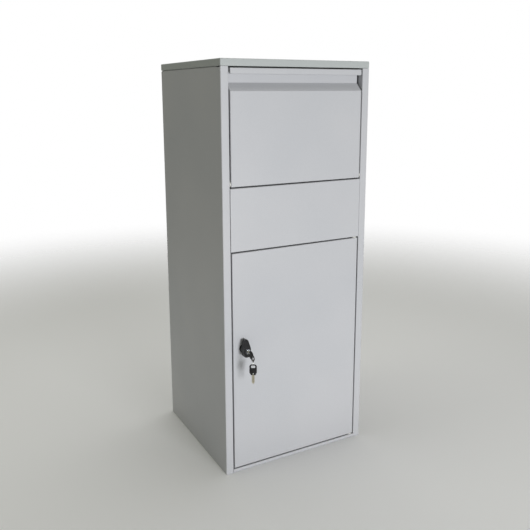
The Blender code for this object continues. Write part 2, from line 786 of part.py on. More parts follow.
def door_panel():
    low = (-DOOR_HALF, FRONT, DOOR_BOTTOM)
    high = (DOOR_HALF, FRONT + DOOR_DEPTH, DOOR_TOP)
    made = pan("door_panel", low, high, (0, 1, 0), DOOR_LIP)
    drill(made, at_lock(0), (0, 1, 0), BARREL_RADIUS + FIT)
    for z in (DOOR_BOTTOM, DOOR_TOP):
        drill(made, (HINGE_X, HINGE_Y, z), (0, 0, 1), PIN_HOLE)
    return made


def door_stiffener():
    """Upright hat section behind the middle of the door."""
    seat = FRONT + SHEET + FIT
    crown = seat + STIFFENER_DEPTH
    inner = STIFFENER_CROWN / 2
    outer = inner + STIFFENER_FLANGE
    steps = [(outer, seat), (inner, seat), (inner, crown), (-inner, crown), (-inner, seat), (-outer, seat)]
    path = [(STIFFENER_X + x, y) for x, y in steps]
    low = DOOR_BOTTOM + STIFFENER_INSET
    return folded_sheet("door_stiffener", fillet(path, BEND), "Z", low, DOOR_TOP - STIFFENER_INSET)


def lock_housing():
    bore = PLUG_RADIUS + FIT
    chamfer = ROSETTE_HEIGHT / 3
    top = FIT + ROSETTE_HEIGHT
    rear = BARREL_SHORT - PLUG_REAR
    profile = [
        (ROSETTE_RADIUS - chamfer, top),
        (ROSETTE_RADIUS, top - chamfer),
        (ROSETTE_RADIUS, FIT),
        (BARREL_RADIUS, FIT),
        (BARREL_RADIUS, rear),
        (bore, rear),
        (bore, top),
    ]
    return turned("lock_housing", profile, (0, -1, 0), at_lock(0), CHROME, 32, closed=True)


def lock_nut():
    corner_radius = NUT_FLATS / 2 / cos(pi / 6)
    hexagon = circle((0, 0), corner_radius, 6)
    bore = circle((0, 0), BARREL_RADIUS + FIT)
    depth = SHEET + FIT + NUT_THICKNESS / 2
    return flat_plate("lock_nut", [hexagon, bore], NUT_THICKNESS, FACING_FRONT, at_lock(-depth), ZINC)


def lock_knob():
    """Black plastic knob that turns with the plug, with a thumb lobe above and a shorter foot below."""
    waist = KNOB_HALF / 2
    points = [
        (-KNOB_LOBE_HALF, KNOB_TOP),
        (-KNOB_HALF, waist),
        (-KNOB_HALF, -waist),
        (-KNOB_FOOT_HALF, -KNOB_BOTTOM),
        (KNOB_FOOT_HALF, -KNOB_BOTTOM),
        (KNOB_HALF, -waist),
        (KNOB_HALF, waist),
        (KNOB_LOBE_HALF, KNOB_TOP),
    ]
    lower = [BEND, BEND, KNOB_FOOT_ROUND, KNOB_FOOT_ROUND, BEND, BEND]
    outline = fillet(points, [KNOB_TIP_ROUND, *lower, KNOB_TIP_ROUND], closed=True, steps=6)
    thickness = KNOB_FRONT - KNOB_BACK
    centre = at_lock(KNOB_BACK + thickness / 2)
    raw = flat_plate("lock_knob", [outline], thickness, FACING_FRONT, centre, BLACK_PLASTIC)
    made = smooth(as_mesh(raw))
    round_edges(made, SHEET, 2)
    rear = ROSETTE_HEIGHT + 2 * FIT
    root = KNOB_BACK + SHEET
    neck = rod_mesh(at_lock((rear + root) / 2), (0, 1, 0), KNOB_NECK_RADIUS, root - rear, 32)
    boolean(made, add_cutter("lock_knob_neck", neck), "UNION")
    bore = rod_mesh(at_lock(KNOB_BACK), (0, 1, 0), PLUG_RADIUS + FIT, 2 * KNOB_FRONT, 32)
    boolean(made, add_cutter("lock_knob_bore", bore))
    slant = (KNOB_FRONT - LOBE_TIP_DEPTH) / (KNOB_TOP - LOBE_ROOT)
    size = 2 * KNOB_TOP
    turn = Matrix.Rotation(-Vector((1, slant)).angle(Vector((1, 0))), 4, "X")
    place = Matrix.Translation(Vector(at_lock(KNOB_FRONT)) + Vector((0, 0, LOBE_ROOT))) @ turn
    cut_box(made, (-size, -size, -SHEET), (size, 0, size), place)
    return made


def lock_plug():
    """Cylinder with a chromed face, a keyway, and a tapped hole for the cam's screw."""
    face = KNOB_FRONT + FIT
    hole = SCREW_RADIUS + FIT
    chamfer = FIT
    profile = [
        (0, face + PLUG_FACE),
        (PLUG_FACE_RADIUS - chamfer, face + PLUG_FACE),
        (PLUG_FACE_RADIUS, face + PLUG_FACE - chamfer),
        (PLUG_FACE_RADIUS, face),
        (PLUG_RADIUS, face),
        (PLUG_RADIUS, -PLUG_REAR),
        (hole, -PLUG_REAR),
        (hole, -PLUG_REAR + SCREW_DEPTH + FIT),
        (0, -PLUG_REAR + SCREW_DEPTH + FIT),
    ]
    made = turned("lock_plug", profile, (0, -1, 0), at_lock(0), CHROME)
    half = KEYWAY_WIDTH / 2
    far = face + PLUG_FACE + GAP
    low = (LOCK_X - half, FRONT - far, LOCK_Z - KEYWAY_HEIGHT / 2)
    high = (LOCK_X + half, FRONT - KEYWAY_FLOOR, LOCK_Z + KEYWAY_HEIGHT / 2)
    cut_box(made, low, high)
    return made


def lock_cam():
    """Steel tongue behind the door: it points up when unlocked and turns behind the left post."""
    points = [(-CAM_HALF, -CAM_TAIL), (CAM_HALF, -CAM_TAIL), (CAM_HALF, CAM_LENGTH), (-CAM_HALF, CAM_LENGTH)]
    outline = fillet(points, [CAM_ROUND, CAM_ROUND, BEND, BEND], closed=True, steps=6)
    hole = circle((0, 0), SCREW_RADIUS + FIT, 16)
    depth = CAM_SEAT + CAM_THICKNESS / 2
    return flat_plate("lock_cam", [outline, hole], CAM_THICKNESS, FACING_FRONT, at_lock(-depth), ZINC)


def cam_screw():
    seat = CAM_SEAT + CAM_THICKNESS + FIT
    profile = [
        (0, seat + SCREW_HEAD),
        (SCREW_HEAD_RADIUS - FIT, seat + SCREW_HEAD),
        (SCREW_HEAD_RADIUS, seat + SCREW_HEAD - 2 * FIT),
        (SCREW_HEAD_RADIUS, seat),
        (SCREW_RADIUS, seat),
        (SCREW_RADIUS, PLUG_REAR - SCREW_DEPTH),
        (0, PLUG_REAR - SCREW_DEPTH),
    ]
    return turned("cam_screw", profile, (0, 1, 0), at_lock(0), ZINC, 24)


def door():
    door_panel()
    door_stiffener()
    lock_housing()
    lock_nut()
    lock_knob()
    lock_plug()
    lock_cam()
    cam_screw()


# ---------------------------------------------------------------- keys


def key_frame(place, length_axis, face_axis):
    """A key's own frame at its fold pin: x runs along the key, z out of its flat face."""
    along = Vector(length_axis).normalized()
    out = Vector(face_axis).normalized()
    across = out.cross(along)
    turn = Matrix((along, across, out)).transposed().to_4x4()
    return Matrix.Translation(place) @ turn


def key_blade(name, frame):
    """Flat blade, round at the fold pin and pointed at its tip."""
    points = [
        (-BLADE_LENGTH, -BLADE_HALF / 3),
        (-BLADE_LENGTH + BLADE_HALF, -BLADE_HALF),
        (0, -BLADE_HALF),
        *[(BLADE_HALF * sin(pi * step / 8), -BLADE_HALF * cos(pi * step / 8)) for step in range(1, 8)],
        (0, BLADE_HALF),
        (-BLADE_LENGTH + BLADE_HALF, BLADE_HALF),
        (-BLADE_LENGTH, BLADE_HALF / 3),
    ]
    hole = circle((0, 0), FOLD_PIN_RADIUS + FIT, 16)
    made = flat_plate(name, [points, hole], BLADE_THICKNESS, Matrix.Identity(4), (0, 0, 0), NICKEL)
    made.matrix_world = frame
    return made


def key_head(name, frame):
    """Plastic head that folds on the blade: a fork around its end, and a thinner web with a ring hole."""
    points = [
        (-HEAD_NEAR, -HEAD_NECK_HALF),
        (HEAD_SHOULDER, -HEAD_HALF),
        (HEAD_LENGTH, -HEAD_HALF),
        (HEAD_LENGTH, HEAD_HALF),
        (HEAD_SHOULDER, HEAD_HALF),
        (-HEAD_NEAR, HEAD_NECK_HALF),
    ]
    radii = [BEND, BEND, HEAD_CORNER, HEAD_CORNER, BEND, BEND]
    outline = fillet(points, radii, closed=True, steps=5)
    slot = [
        (HEAD_HOLE - HEAD_HOLE_SHORT, -HEAD_HOLE_LONG),
        (HEAD_HOLE + HEAD_HOLE_SHORT, -HEAD_HOLE_LONG),
        (HEAD_HOLE + HEAD_HOLE_SHORT, HEAD_HOLE_LONG),
        (HEAD_HOLE - HEAD_HOLE_SHORT, HEAD_HOLE_LONG),
    ]
    outlines = [outline, fillet(slot, HEAD_HOLE_ROUND, closed=True)]
    raw = flat_plate(name, outlines, HEAD_THICKNESS, Matrix.Identity(4), (0, 0, 0), BLACK_PLASTIC)
    made = as_mesh(raw)
    made.matrix_world = frame
    reach = 2 * HEAD_LENGTH
    for face in (-1, 1):
        near, far = mirrored_span(HEAD_THIN / 2, HEAD_THICKNESS, face)
        cut_box(made, (HEAD_THIN_FROM, -reach, near), (reach, reach, far), frame)
    half_slot = BLADE_THICKNESS / 2 + FIT
    root = BLADE_HALF + 2 * FIT
    cut_box(made, (-reach, -reach, -half_slot), (root, reach, half_slot), frame)
    pin = rod_mesh((0, 0, 0), (0, 0, 1), FOLD_PIN_RADIUS, HEAD_THICKNESS - FIT, 16)
    boolean(made, add_cutter(f"{name}_pin", pin, frame), "UNION")
    return made


def key_ring(centre):
    """Wire ring through the holes of both heads."""
    steps = 40
    data = bpy.data.curves.new("key_ring", "CURVE")
    data.dimensions = "3D"
    data.bevel_depth = RING_WIRE
    data.bevel_resolution = 2
    data.use_fill_caps = True
    spline = data.splines.new("POLY")
    spline.points.add(steps - 1)
    for point, (across, up) in zip(spline.points, circle((0, 0), RING_RADIUS, steps)):
        point.co = (across * cos(RING_YAW), across * sin(RING_YAW), up, 1.0)
    spline.use_cyclic_u = True
    made = finish_object("key_ring", data, ZINC)
    made.location = centre
    return made


def keys():
    """The key in the lock, with its head drooping, and the spare that hangs from it on a ring."""
    droop = Vector((0, -cos(KEY_DROOP), -sin(KEY_DROOP)))
    fold = Vector(at_lock(KEY_PIVOT))
    key_blade("key_blade", key_frame(fold, (0, -1, 0), (1, 0, 0)))
    key_head("key_head", key_frame(fold, droop, (1, 0, 0)))
    ring_centre = fold + droop * HEAD_HOLE - Vector((0, 0, RING_SAG + RING_RADIUS))
    key_ring(ring_centre)
    hang = HEAD_HOLE + HEAD_HOLE_SHORT - RING_WIRE - RING_SLACK
    spare_fold = ring_centre - Vector((0, 0, RING_RADIUS + hang))
    spare_frame = key_frame(spare_fold, (0, 0, 1), (-sin(SPARE_YAW), -cos(SPARE_YAW), 0))
    key_blade("spare_key_blade", spare_frame)
    key_head("spare_key_head", spare_frame)


cabinet()
hopper()
door()
keys()
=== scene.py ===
"""Looks of the parcel drop box.

Finishes for the folded steel, a detailed lock with its keys, and the fixings. Lengths are in metres.
"""

import json
from math import cos, pi, radians, sin, sqrt, tan

import bmesh
import bpy
from mathutils import Matrix, Vector


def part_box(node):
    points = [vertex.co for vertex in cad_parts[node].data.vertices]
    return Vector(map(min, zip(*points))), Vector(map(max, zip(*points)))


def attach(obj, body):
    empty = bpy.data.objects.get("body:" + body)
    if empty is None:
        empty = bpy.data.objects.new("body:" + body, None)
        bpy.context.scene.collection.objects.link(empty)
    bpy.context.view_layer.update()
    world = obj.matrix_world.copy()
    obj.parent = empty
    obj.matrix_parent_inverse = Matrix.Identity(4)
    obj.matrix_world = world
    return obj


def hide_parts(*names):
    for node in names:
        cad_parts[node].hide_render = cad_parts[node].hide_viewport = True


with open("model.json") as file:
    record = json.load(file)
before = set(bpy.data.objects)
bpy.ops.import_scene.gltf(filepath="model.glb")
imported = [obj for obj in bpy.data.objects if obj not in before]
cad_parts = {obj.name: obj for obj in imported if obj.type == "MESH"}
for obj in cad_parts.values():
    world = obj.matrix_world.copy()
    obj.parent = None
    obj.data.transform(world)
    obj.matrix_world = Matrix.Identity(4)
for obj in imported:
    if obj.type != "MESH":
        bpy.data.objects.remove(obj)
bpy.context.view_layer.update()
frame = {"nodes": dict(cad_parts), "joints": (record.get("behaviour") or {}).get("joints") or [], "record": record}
NODES = frame["nodes"]
JOINTS = {joint["name"]: joint for joint in frame["joints"]}

# ---------------------------------------------------------------- camera, light and floor

CAMERA_PLACE = (-0.8206, -1.5336, 0.9466)
CAMERA_YAW = radians(28.47)      # turned from +Y towards +X
CAMERA_PITCH = radians(-11.65)
CAMERA_ROLL = radians(-0.15)
CAMERA_LENS = 44.01              # millimetres, on a sensor of SENSOR_WIDTH
SENSOR_WIDTH = 36.0
CAMERA_SHIFT_Y = -0.075
CLIP_START = 0.01

SURROUND_COLOUR = (0.99, 1.0, 0.89, 1.0)
SURROUND_STRENGTH = 0.19
WHITE = (1.0, 1.0, 1.0, 1.0)

FLOOR_FADE = 1.2         # the floor fades into the backdrop between these distances from the box
FLOOR_END = 3.104
FLOOR_REACH = 3.2
FLOOR_SIDES = 96
FLOOR_DROP = 0.0002
FLOOR_COLOUR = (0.90, 0.90, 0.90, 1.0)
FLOOR_ROUGHNESS = 0.85
FLOOR_SPECULAR = 0.2


def add_camera():
    data = bpy.data.cameras.new("camera")
    data.lens = CAMERA_LENS
    data.sensor_width = SENSOR_WIDTH
    data.shift_y = CAMERA_SHIFT_Y
    data.clip_start = CLIP_START
    camera = bpy.data.objects.new("camera", data)
    bpy.context.scene.collection.objects.link(camera)
    camera.matrix_world = (
        Matrix.Translation(CAMERA_PLACE)
        @ Matrix.Rotation(-CAMERA_YAW, 4, "Z")
        @ Matrix.Rotation(pi / 2 + CAMERA_PITCH, 4, "X")
        @ Matrix.Rotation(CAMERA_ROLL, 4, "Z")
    )
    bpy.context.scene.camera = camera


def softbox(name, place, target, size, power, colour):
    """A square area light aimed at the target."""
    data = bpy.data.lights.new(name, "AREA")
    data.shape = "SQUARE"
    data.size = size
    data.energy = power
    data.color = colour
    light = bpy.data.objects.new(name, data)
    bpy.context.scene.collection.objects.link(light)
    light.location = place
    aim = Vector(target) - Vector(place)
    light.rotation_euler = aim.to_track_quat("-Z", "Y").to_euler()


def studio():
    """Level soft light from the front, soft light from above, a weak one on the left, and a pale surround."""
    softbox(
        "key",
        place=(0.30, -3.95, 0.45),
        target=(0.0, 0.0, 0.55),
        size=1.3,
        power=115.0,
        colour=(0.97, 0.975, 1.0),
    )
    softbox(
        "overhead",
        place=(0.4, 0.6, 3.4),
        target=(0.0, 0.0, 0.0),
        size=3.0,
        power=50.0,
        colour=(1.0, 1.0, 0.99),
    )
    softbox(
        "side",
        place=(-3.0, 0.8, 2.0),
        target=(0.0, 0.1, 0.95),
        size=1.8,
        power=9.0,
        colour=(1.0, 1.0, 0.80),
    )
    world = bpy.data.worlds.new("studio")
    bpy.context.scene.world = world
    world.use_nodes = True
    tree = world.node_tree
    tree.nodes.clear()
    output = tree.nodes.new("ShaderNodeOutputWorld")
    mix = tree.nodes.new("ShaderNodeMixShader")
    rays = tree.nodes.new("ShaderNodeLightPath")
    surround = tree.nodes.new("ShaderNodeBackground")
    surround.inputs["Color"].default_value = SURROUND_COLOUR
    surround.inputs["Strength"].default_value = SURROUND_STRENGTH
    backdrop = tree.nodes.new("ShaderNodeBackground")
    backdrop.inputs["Color"].default_value = WHITE
    tree.links.new(rays.outputs["Is Camera Ray"], mix.inputs["Fac"])
    tree.links.new(surround.outputs["Background"], mix.inputs[1])
    tree.links.new(backdrop.outputs["Background"], mix.inputs[2])
    tree.links.new(mix.outputs["Shader"], output.inputs["Surface"])
    bpy.context.scene.view_settings.view_transform = "Standard"


def add_floor():
    """A pale matt floor whose rim fades into the pale backdrop."""
    shape = bmesh.new()
    bmesh.ops.create_circle(shape, cap_ends=True, segments=FLOOR_SIDES, radius=FLOOR_REACH)
    floor = bpy.data.objects.new("floor", mesh_from(shape, "floor"))
    bpy.context.scene.collection.objects.link(floor)
    floor.location.z = -FLOOR_DROP
    pale = bpy.data.materials.new("pale_floor")
    pale.use_nodes = True
    tree = pale.node_tree
    shader = tree.nodes["Principled BSDF"]
    shader.inputs["Base Color"].default_value = FLOOR_COLOUR
    shader.inputs["Roughness"].default_value = FLOOR_ROUGHNESS
    shader.inputs["Specular IOR Level"].default_value = FLOOR_SPECULAR
    place = tree.nodes.new("ShaderNodeTexCoord")
    distance = tree.nodes.new("ShaderNodeVectorMath")
    distance.operation = "LENGTH"
    fade = tree.nodes.new("ShaderNodeMapRange")
    fade.interpolation_type = "SMOOTHSTEP"
    fade.inputs["From Min"].default_value = FLOOR_FADE
    fade.inputs["From Max"].default_value = FLOOR_END
    fade.inputs["To Min"].default_value = 1.0
    fade.inputs["To Max"].default_value = 0.0
    tree.links.new(place.outputs["Object"], distance.inputs[0])
    tree.links.new(distance.outputs["Value"], fade.inputs["Value"])
    tree.links.new(fade.outputs["Result"], shader.inputs["Alpha"])
    floor.data.materials.append(pale)


# ---------------------------------------------------------------- finishes

RAMP_START = 0.35        # parts of a noise's range that a colour or a roughness runs over
RAMP_END = 0.65
SPREAD_START = 0.3
SPREAD_END = 0.7
GRAIN_DARK = (0.94, 0.94, 0.94)
GRAIN_LIGHT = (1.0, 1.0, 1.0)
PAINT_ROUGHNESS = 0.42
PAINT_SPECULAR = 0.35
MOULDED_SPECULAR = 0.38
DRAWN = (1, 1, 0.08)     # stretches a noise into lines along Z


class Finish:
    """A Principled material built up from noise, bump and colour steps in object space."""

    def __init__(self, name, roughness, metallic=0.0):
        self.material = bpy.data.materials.new(name)
        self.material.use_nodes = True
        self.tree = self.material.node_tree
        self.shader = self.tree.nodes["Principled BSDF"]
        self.shader.inputs["Roughness"].default_value = roughness
        self.shader.inputs["Metallic"].default_value = metallic
        self.place = self.tree.nodes.new("ShaderNodeTexCoord").outputs["Object"]

    def noise(self, scale, detail, stretch=(1, 1, 1)):
        mapping = self.tree.nodes.new("ShaderNodeMapping")
        mapping.inputs["Scale"].default_value = stretch
        texture = self.tree.nodes.new("ShaderNodeTexNoise")
        texture.inputs["Scale"].default_value = scale
        texture.inputs["Detail"].default_value = detail
        self.tree.links.new(self.place, mapping.inputs["Vector"])
        self.tree.links.new(mapping.outputs["Vector"], texture.inputs["Vector"])
        return texture.outputs["Fac"]

    def ramp(self, factor, low, high):
        """A colour that runs from low to high with the factor."""
        node = self.tree.nodes.new("ShaderNodeValToRGB")
        node.color_ramp.elements[0].position = RAMP_START
        node.color_ramp.elements[1].position = RAMP_END
        node.color_ramp.elements[0].color = (*low, 1.0)
        node.color_ramp.elements[1].color = (*high, 1.0)
        self.tree.links.new(factor, node.inputs["Fac"])
        return node.outputs["Color"]

    def multiply(self, first, second):
        node = self.tree.nodes.new("ShaderNodeMix")
        node.data_type = "RGBA"
        node.blend_type = "MULTIPLY"
        node.inputs["Factor"].default_value = 1.0
        self.tree.links.new(first, node.inputs["A"])
        self.tree.links.new(second, node.inputs["B"])
        return node.outputs["Result"]

    def spread(self, factor, low, high):
        """A number that runs from low to high with the factor's usual spread."""
        node = self.tree.nodes.new("ShaderNodeMapRange")
        node.inputs["From Min"].default_value = SPREAD_START
        node.inputs["From Max"].default_value = SPREAD_END
        node.inputs["To Min"].default_value = low
        node.inputs["To Max"].default_value = high
        self.tree.links.new(factor, node.inputs["Value"])
        return node.outputs["Result"]

    def colour(self, socket):
        self.tree.links.new(socket, self.shader.inputs["Base Color"])

    def roughness(self, socket):
        self.tree.links.new(socket, self.shader.inputs["Roughness"])

    def bumps(self, *steps):
        """Stack bump steps, each a height socket with its strength and depth in metres."""
        normal = None
        for height, strength, depth in steps:
            node = self.tree.nodes.new("ShaderNodeBump")
            node.inputs["Strength"].default_value = strength
            node.inputs["Distance"].default_value = depth
            self.tree.links.new(height, node.inputs["Height"])
            if normal is not None:
                self.tree.links.new(normal, node.inputs["Normal"])
            normal = node.outputs["Normal"]
        self.tree.links.new(normal, self.shader.inputs["Normal"])


def powder_coat(name, low, high):
    """Baked powder paint: slow changes of tone, fine grain, panels that aren't quite flat, orange peel."""
    made = Finish(name, PAINT_ROUGHNESS)
    tone = made.ramp(made.noise(scale=3.2, detail=2.0), low, high)
    grain = made.ramp(made.noise(scale=1400.0, detail=1.0), GRAIN_DARK, GRAIN_LIGHT)
    made.colour(made.multiply(tone, grain))
    patches = made.noise(scale=9.0, detail=3.0)
    made.roughness(made.spread(patches, PAINT_ROUGHNESS - 0.03, PAINT_ROUGHNESS + 0.05))
    waves = made.noise(scale=4.5, detail=1.0)
    peel = made.noise(scale=420.0, detail=2.0)
    fine = made.noise(scale=1500.0, detail=1.0)
    made.bumps((waves, 0.5, 0.0012), (peel, 0.20, 0.00006), (fine, 0.15, 0.00002))
    made.shader.inputs["Specular IOR Level"].default_value = PAINT_SPECULAR
    return made.material


def plated(name, low, high, rough, scratch):
    """Plated or milled metal with fine drawn lines."""
    made = Finish(name, rough, metallic=1.0)
    made.colour(made.ramp(made.noise(scale=90.0, detail=3.0), low, high))
    made.roughness(made.spread(made.noise(scale=260.0, detail=2.0), rough * 0.75, rough * 1.3))
    lines = made.noise(scale=900.0, detail=2.0, stretch=DRAWN)
    pits = made.noise(scale=2200.0, detail=1.0)
    made.bumps((lines, scratch, 0.00003), (pits, scratch, 0.00001))
    return made.material


def moulded(name, low, high, rough, grain=0.3):
    """Moulded plastic or rubber with a spark-eroded grain and slightly polished high spots."""
    made = Finish(name, rough)
    made.colour(made.ramp(made.noise(scale=150.0, detail=3.0), low, high))
    made.roughness(made.spread(made.noise(scale=500.0, detail=2.0), rough - 0.06, rough + 0.08))
    sparks = made.noise(scale=2600.0, detail=2.0)
    flow = made.noise(scale=300.0, detail=1.0)
    made.bumps((sparks, grain, 0.00004), (flow, grain / 2, 0.00005))
    made.shader.inputs["Specular IOR Level"].default_value = MOULDED_SPECULAR
    return made.material


PAINT = powder_coat("powder_coat", (0.492, 0.502, 0.524), (0.522, 0.527, 0.545))
# The top cover's paint is a darker, greener copy of the same powder coat: painted shade on the cover
SHADED_COVER_PAINT = powder_coat("powder_coat_cover_painted_shade", (0.425, 0.455, 0.450), (0.450, 0.475, 0.470))
CHROME = plated("chrome_plate", (0.62, 0.67, 0.77), (0.73, 0.77, 0.85), 0.12, 0.04)
ZINC = plated("zinc_plate", (0.52, 0.52, 0.50), (0.68, 0.67, 0.63), 0.32, 0.25)
NICKEL = plated("nickel_silver", (0.50, 0.47, 0.36), (0.66, 0.62, 0.50), 0.30, 0.20)
GLOSS_BLACK = moulded("gloss_black", (0.010, 0.010, 0.011), (0.020, 0.020, 0.021), 0.22, 0.12)
BLACK = moulded("black_plastic", (0.007, 0.007, 0.008), (0.015, 0.015, 0.017), 0.40)
RUBBER = moulded("black_rubber", (0.014, 0.014, 0.014), (0.026, 0.026, 0.026), 0.75, 0.5)
NYLON = moulded("natural_nylon", (0.66, 0.65, 0.60), (0.76, 0.75, 0.70), 0.45, 0.2)

SOFT_EDGE = 0.0003       # bevel of a cut edge, where the sheet turns by more than CUT_ANGLE
CUT_ANGLE = radians(50)
WELD_REACH = 0.00001

SLOT_FINISH = {
    "powder_coat": PAINT,
    "zinc": ZINC,
    "chrome": CHROME,
    "black_plastic": BLACK,
    "rubber": RUBBER,
    "nylon": NYLON,
    "nickel_silver": NICKEL,
}


def dress_cad_nodes():
    """Give every CAD node its finish, soft cut edges and even shading."""
    for part in frame["record"]["subparts"]:
        node = NODES[part["node"]]
        finish = SLOT_FINISH[part["material_slot"]]
        # the top cover takes the darker copy of the powder coat, which paints shade on it
        if part["node"] == "top_cover":
            finish = SHADED_COVER_PAINT
        for slot in node.material_slots:
            slot.material = finish
        if not node.material_slots:
            node.data.materials.append(finish)
        soften(node)


def soften(node):
    """Round a piece's cut edges and shade its folds smoothly."""
    if "custom_normal" in node.data.attributes:
        node.data.attributes.remove(node.data.attributes["custom_normal"])
    node.data.shade_smooth()
    weld = node.modifiers.new("weld", "WELD")
    weld.merge_threshold = WELD_REACH
    rounding = node.modifiers.new("soft_edges", "BEVEL")
    rounding.width = SOFT_EDGE
    rounding.segments = 2
    rounding.limit_method = "ANGLE"
    rounding.angle_limit = CUT_ANGLE
    rounding.harden_normals = True
    shading = node.modifiers.new("even_shading", "WEIGHTED_NORMAL")
    shading.keep_sharp = True


# ---------------------------------------------------------------- mesh helpers

TINY = 1e-7
FIT = 0.0003             # clearance between pieces that seat on each other


def mesh_from(shape, name):
    shape.normal_update()
    data = bpy.data.meshes.new(name)
    shape.to_mesh(data)
    shape.free()
    return data


def piece(name, shape, finish, body, corner=35.0):
    """Link a mesh as one of the object's pieces, smooth but for its corners, and let it ride on a body."""
    bmesh.ops.recalc_face_normals(shape, faces=shape.faces[:])
    made = bpy.data.objects.new(name, mesh_from(shape, name))
    bpy.context.scene.collection.objects.link(made)
    made.data.materials.append(finish)
    made.data.shade_smooth()
    made.data.set_sharp_from_angle(angle=radians(corner))
    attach(made, body)
    return made


def frame_at(place, along, out):
    """A local frame in the world: x runs along, z points out, and y completes them."""
    along = Vector(along).normalized()
    out = Vector(out).normalized()
    turn = Matrix((along, out.cross(along), out)).transposed().to_4x4()
    return Matrix.Translation(place) @ turn


def axis_frame(place, axis):
    """A frame whose z is the axis."""
    axis = Vector(axis).normalized()
    side = axis.orthogonal().normalized()
    return frame_at(place, side, axis)


def add_loft(shape, rings, loop=False):
    """Join rings of equal length into one tube of quads, which closes on itself or has filled ends."""
    made = [[shape.verts.new(point) for point in ring] for ring in rings]
    pairs = list(zip(made, made[1:]))
    if loop:
        pairs.append((made[-1], made[0]))
    for first, second in pairs:
        count = len(first)
        for index in range(count):
            after = (index + 1) % count
            shape.faces.new((first[index], first[after], second[after], second[index]))
    if not loop:
        shape.faces.new(list(reversed(made[0])))
        shape.faces.new(made[-1])


def add_turned(shape, profile, frame_matrix, steps):
    """Sweep a profile of radii and heights about the frame's z, with filled ends if it meets the axis."""
    solid = profile[0][0] < TINY and profile[-1][0] < TINY
    inner = profile[1:-1] if solid else profile
    turns = [2 * pi * step / steps for step in range(steps)]
    rings = []
    for radius, height in inner:
        ring = [frame_matrix @ Vector((radius * cos(turn), radius * sin(turn), height)) for turn in turns]
        rings.append(ring)
    add_loft(shape, rings, loop=not solid)


def rounded(points, radii, steps):
    """A closed flat outline whose corners are arcs."""
    count = len(points)
    sizes = radii if isinstance(radii, (list, tuple)) else [radii] * count
    result = []
    for index, (corner, size) in enumerate(zip(map(Vector, points), sizes)):
        if size < TINY:
            result.append(corner)
            continue
        back = (Vector(points[index - 1]) - corner).normalized()
        ahead = (Vector(points[(index + 1) % count]) - corner).normalized()
        half_angle = back.angle(ahead) / 2
        middle = corner + (back + ahead).normalized() * size / sin(half_angle)
        first = corner + back * size / tan(half_angle) - middle
        last = corner + ahead * size / tan(half_angle) - middle
        for step in range(steps + 1):
            result.append(middle + first.lerp(last, step / steps).normalized() * size)
    return result


def turned_piece(name, profile, radii, place, axis, finish, body, steps=40):
    """A turned piece with rounded profile corners; the profile runs down the outer side."""
    shape = bmesh.new()
    outline = [tuple(point) for point in rounded(profile, radii, steps=3)]
    add_turned(shape, outline, axis_frame(place, axis), steps)
    return piece(name, shape, finish, body)


def carve(target, shape, operation="DIFFERENCE"):
    """Cut a shape from a piece, or join it on, and keep only the result."""
    bmesh.ops.recalc_face_normals(shape, faces=shape.faces[:])
    tool = bpy.data.objects.new("tool", mesh_from(shape, "tool"))
    bpy.context.scene.collection.objects.link(tool)
    change = target.modifiers.new("carve", "BOOLEAN")
    change.operation = operation
    change.object = tool
    bpy.context.view_layer.update()
    result = target.evaluated_get(bpy.context.evaluated_depsgraph_get())
    data = bpy.data.meshes.new_from_object(result)
    target.modifiers.clear()
    target.data = data
    bpy.data.objects.remove(tool, do_unlink=True)
    data.shade_smooth()
    data.set_sharp_from_angle(angle=radians(35))


def box_shape(low, high, frame_matrix):
    shape = bmesh.new()
    bmesh.ops.create_cube(shape, size=1.0)
    middle = (Vector(low) + Vector(high)) / 2
    bmesh.ops.scale(shape, vec=Vector(high) - Vector(low), verts=shape.verts[:])
    bmesh.ops.translate(shape, vec=middle, verts=shape.verts[:])
    bmesh.ops.transform(shape, matrix=frame_matrix, verts=shape.verts[:])
    return shape


def rod_shape(radius, length, frame_matrix):
    shape = bmesh.new()
    bmesh.ops.create_cone(
        shape, cap_ends=True, segments=32, radius1=radius, radius2=radius, depth=length
    )
    bmesh.ops.transform(shape, matrix=frame_matrix, verts=shape.verts[:])
    return shape


# ---------------------------------------------------------------- lock

LOCK = Vector(JOINTS["lock_turn"]["pos_m"])      # on the lock's axis, in the front plane
OUT = Vector((0, -1, 0))
KNOB_LOW, KNOB_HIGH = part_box("lock_knob")
HOUSING_LOW, HOUSING_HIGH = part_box("lock_housing")
NUT_LOW, NUT_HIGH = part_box("lock_nut")
SCREW_LOW, SCREW_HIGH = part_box("cam_screw")
ROSETTE_STEP = 0.0012
BARREL_RADIUS = 0.009
PLUG_BORE = 0.0058
THREAD_START = 0.0022    # plain part of the barrel behind the rosette
THREAD_PITCH = 0.00125
THREAD_DEPTH = 0.0004
THREAD_LAND = 0.0001     # flat on each crest
NUT_CHAMFER = radians(32)
NUT_EDGE = 0.0003
NUT_FACE = 0.97          # share of the distance across flats that the nut's flat ring covers
COLLAR_BORE = 0.0062
COLLAR_FRONT = 0.0078
COLLAR_REAR = 0.0082
COLLAR_PROUD = 0.0016
COLLAR_SUNK = 0.001
LOBE_ROOT = 0.008        # height over the lock's axis where the lobe's slanted face starts
LOBE_TIP_DEPTH = 0.014   # the face at its tip, in front of the front plane
RIB_COUNT = 5
RIB_FIRST = 0.0028
RIB_PITCH = 0.0026
RIB_HALF_LENGTH = 0.0052
RIB_TAPER = 0.0004       # each rib is shorter than the last by twice this
RIB_HALF_WIDTH = 0.0005
RIB_HEIGHT = 0.00035
SCREW_HEAD = 0.003
SCREW_RADIUS = 0.002
CROSS_HALF_LENGTH = 0.0024
CROSS_HALF_WIDTH = 0.0004
CROSS_DEPTH = 0.0013


